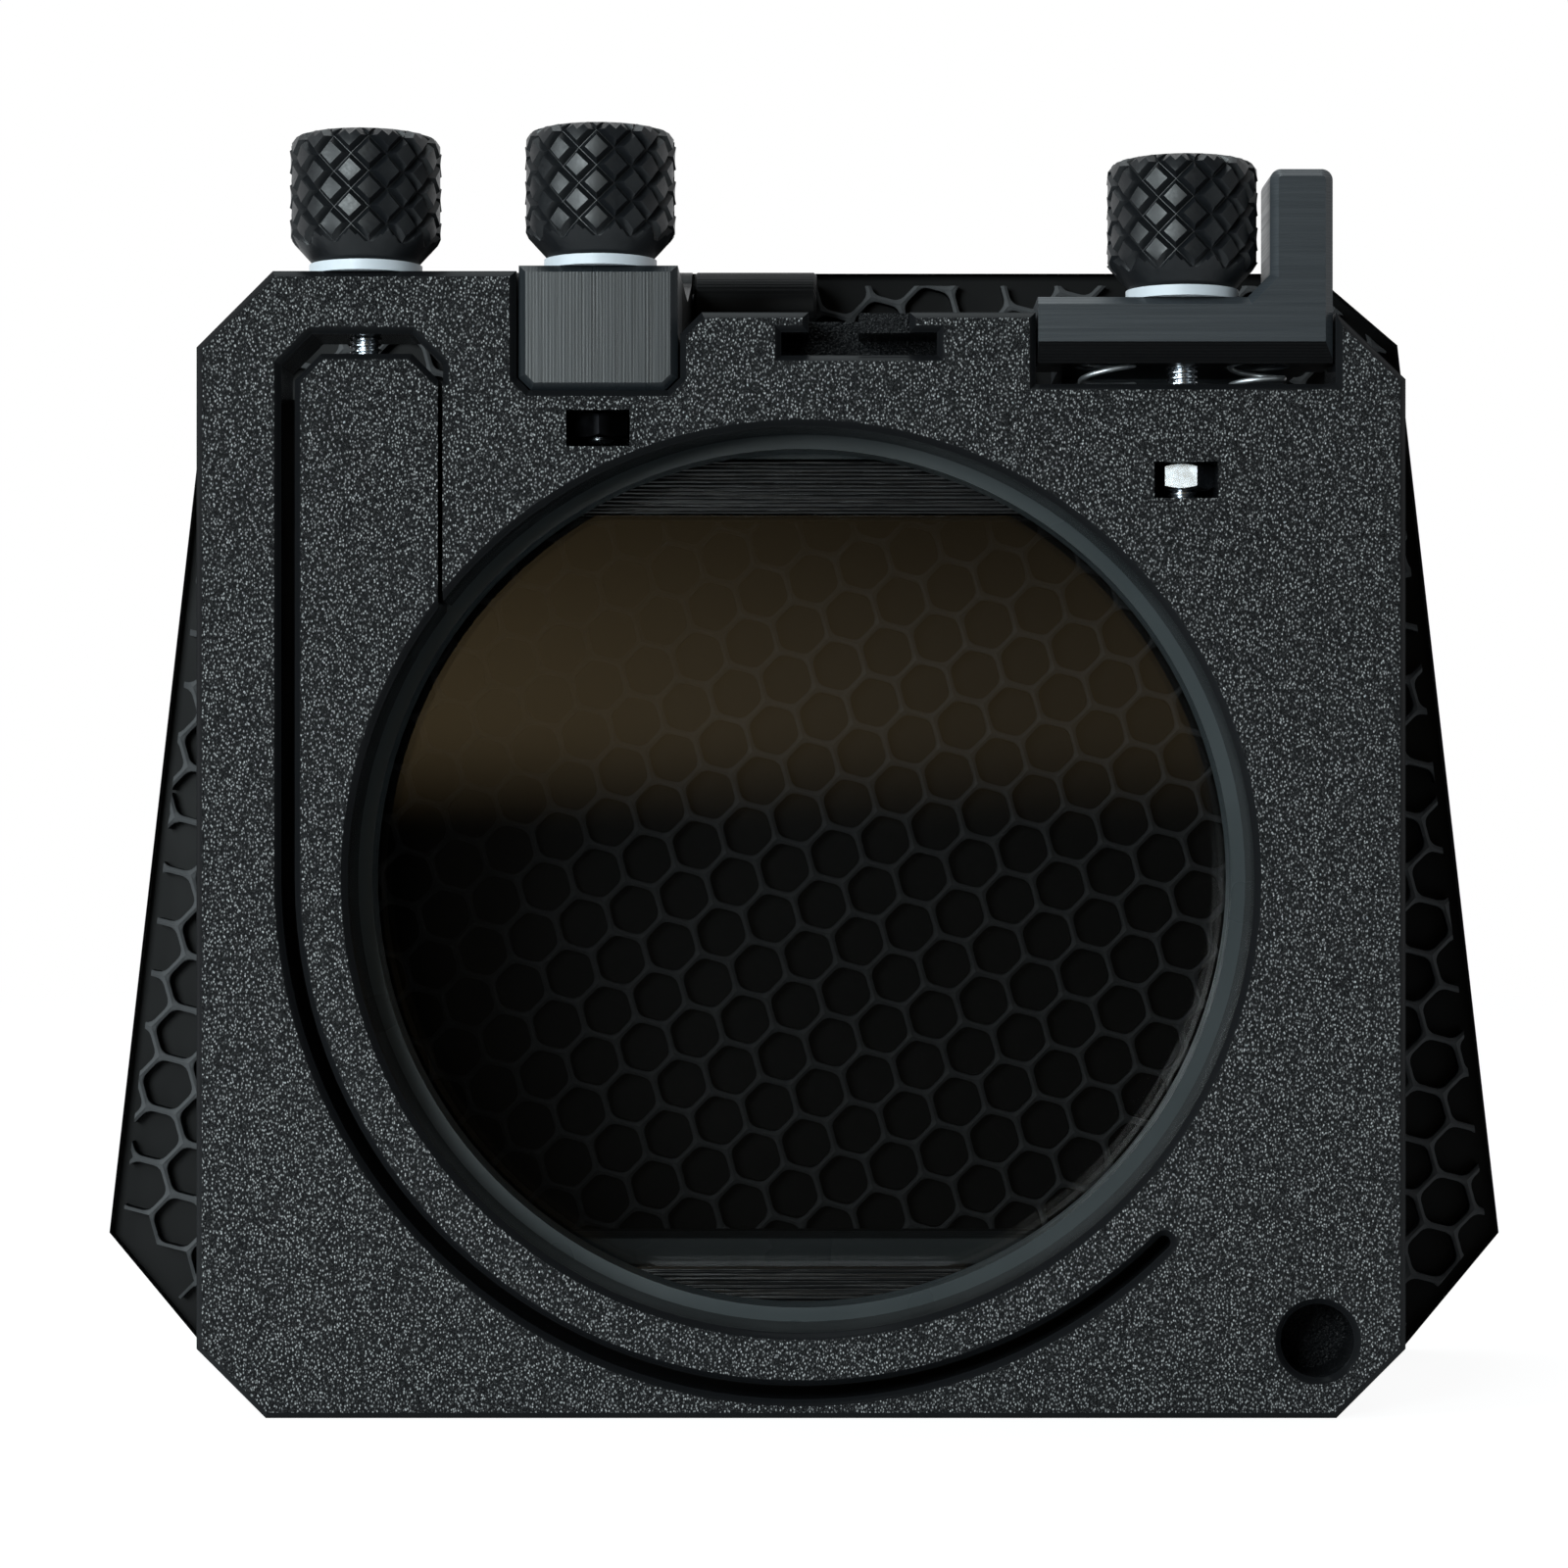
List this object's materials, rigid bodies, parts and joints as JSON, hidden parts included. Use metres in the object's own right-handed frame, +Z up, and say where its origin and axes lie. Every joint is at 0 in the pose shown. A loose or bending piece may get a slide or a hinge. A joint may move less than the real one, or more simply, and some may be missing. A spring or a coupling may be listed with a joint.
{
  "type": "matte box",
  "caption": "Clamp-on matte box for a camera lens, with a spring-arm clamp ring, a sliding filter tray, a screw lock, a short shade and a hinged honeycomb top flag.",
  "frame": {"origin": "on the axis of the lens bore, on the plane where the lens rim seats against the filter stage", "axes": "+Y points forward out of the shade, +Z up, +X to the right seen from behind"},
  "size_m": [0.1962, 0.0696, 0.1625],
  "materials": {
    "plate_print": "textured print-bed finish",
    "black_print": "fine layer lines",
    "flag_print": "fine layer lines",
    "knob_plastic": "satin",
    "nylon": "natural nylon",
    "zinc_steel": "bright zinc plated",
    "black_steel": "black oxide",
    "spring_steel": "drawn wire",
    "brass": "knurled",
    "dark_glass": "polished neutral density"
  },
  "bodies": {
    "stage": {"rear_plate": "plate_print", "stage_housing": "black_print", "shade_hood": "black_print", "stage_screws": "black_steel", "stage_inserts": "brass", "shade_screws": "black_steel", "shade_inserts": "brass", "clamp_nut": "zinc_steel", "arm_nut": "zinc_steel", "lock_nut": "zinc_steel", "flag_arm": "black_print"},
    "clamp_lift": {"clamp_washer": "nylon"},
    "clamp_turn": {"clamp_knob": "knob_plastic", "clamp_screw": "zinc_steel"},
    "arm_lift": {"arm_washer": "nylon"},
    "arm_turn": {"arm_knob": "knob_plastic", "arm_screw": "zinc_steel"},
    "lock_lift": {"lock_bracket": "black_print", "lock_washer": "nylon", "lock_spring_left": "spring_steel", "lock_spring_right": "spring_steel"},
    "lock_turn": {"lock_knob": "knob_plastic", "lock_screw": "zinc_steel"},
    "filter": {"filter_tray": "black_print", "filter_glass": "dark_glass", "tray_retainer": "black_print"},
    "flag": {"flag_panel": "flag_print", "hinge_bolt": "black_steel", "hinge_nut": "zinc_steel"}
  },
  "joints": [
    {"name": "clamp_feed", "type": "slide", "parent": "stage", "child": "clamp_lift", "axis": [0, 0, 1], "range_m": [0, 0.0021]},
    {"name": "clamp_knob_turn", "type": "hinge", "parent": "clamp_lift", "child": "clamp_turn", "pos_m": [-0.0553, -0.006, 0.0778], "axis": [0, 0, 1], "range_deg": [0, 1080]},
    {"name": "arm_feed", "type": "slide", "parent": "stage", "child": "arm_lift", "axis": [0, 0, 1], "range_m": [0, 0.0021]},
    {"name": "arm_knob_turn", "type": "hinge", "parent": "arm_lift", "child": "arm_turn", "pos_m": [-0.0255, -0.006, 0.0785], "axis": [0, 0, 1], "range_deg": [0, 1080]},
    {"name": "lock_feed", "type": "slide", "parent": "stage", "child": "lock_lift", "axis": [0, 0, 1], "range_m": [-0.0021, 0], "deforming": ["lock_spring_left", "lock_spring_right"]},
    {"name": "lock_knob_turn", "type": "hinge", "parent": "lock_lift", "child": "lock_turn", "pos_m": [0.04835, -0.006, 0.0746], "axis": [0, 0, 1], "range_deg": [-1080, 0]},
    {"name": "filter_slide", "type": "slide", "parent": "stage", "child": "filter", "axis": [1, 0, 0], "range_m": [0, 0.15]},
    {"name": "flag_hinge", "type": "hinge", "parent": "stage", "child": "flag", "pos_m": [0, 0.044, 0.0788], "axis": [1, 0, 0], "range_deg": [0, 110]}
  ],
  "couplings": [
    {"joint": "clamp_knob_turn", "follows": "clamp_feed", "rad_per_m": 8976},
    {"joint": "arm_knob_turn", "follows": "arm_feed", "rad_per_m": 8976},
    {"joint": "lock_knob_turn", "follows": "lock_feed", "rad_per_m": 8976}
  ]
}
